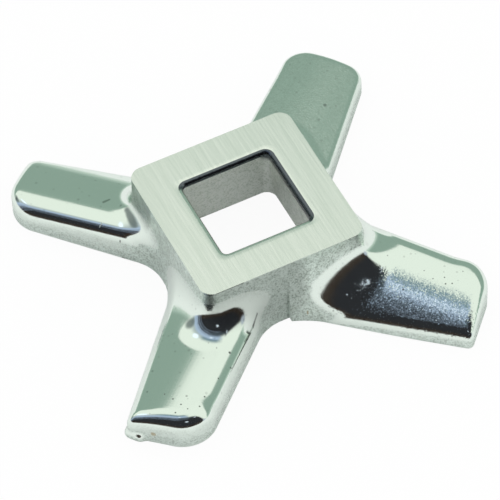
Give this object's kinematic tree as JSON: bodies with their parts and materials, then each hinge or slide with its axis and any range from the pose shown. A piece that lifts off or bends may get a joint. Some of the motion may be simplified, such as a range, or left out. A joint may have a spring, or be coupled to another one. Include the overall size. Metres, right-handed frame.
{
  "type": "meat grinder knife",
  "caption": "Cast steel meat grinder knife: a square hub with a square drive bore and a cross of blades, each with a tall rounded leading side and a flat cutting face.",
  "frame": {"origin": "centre of the square drive bore, in the plane of the blades' cutting faces", "axes": "+Z along the drive axis, from the cutting faces toward the hub's ground top face; X and Y run across the hub's flats, with the blades on the diagonals"},
  "size_m": [0.0398, 0.0398, 0.0082],
  "materials": {
    "cast_steel": "polished cast steel on the blades, fine straight grinding on the hub's top face, grainy as cast on the hub's sides and in the bore"
  },
  "bodies": {
    "root": {"knife": "cast_steel"}
  },
  "joints": []
}
